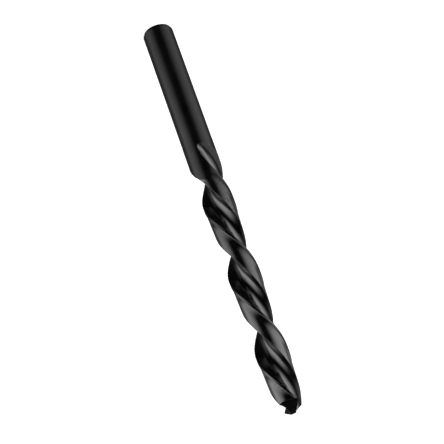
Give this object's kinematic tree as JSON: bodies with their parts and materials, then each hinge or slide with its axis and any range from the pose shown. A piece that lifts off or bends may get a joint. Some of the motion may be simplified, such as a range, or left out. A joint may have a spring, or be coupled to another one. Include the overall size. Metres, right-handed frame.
{
  "type": "twist drill bit",
  "caption": "Straight-shank twist drill with spiral flutes, ground margins and a conical point, for boring round holes in metal, wood and plastic.",
  "frame": {"origin": "centre of the shank's flat end face", "axes": "+Z along the drill's axis, from the shank end to the point; +X is the direction of one rake face in the section at the tip's height"},
  "size_m": [0.009, 0.009, 0.1242],
  "materials": {
    "black_oxide_steel": "satin black oxide over ground high-speed steel"
  },
  "bodies": {
    "root": {"twist_drill": "black_oxide_steel"}
  },
  "joints": []
}
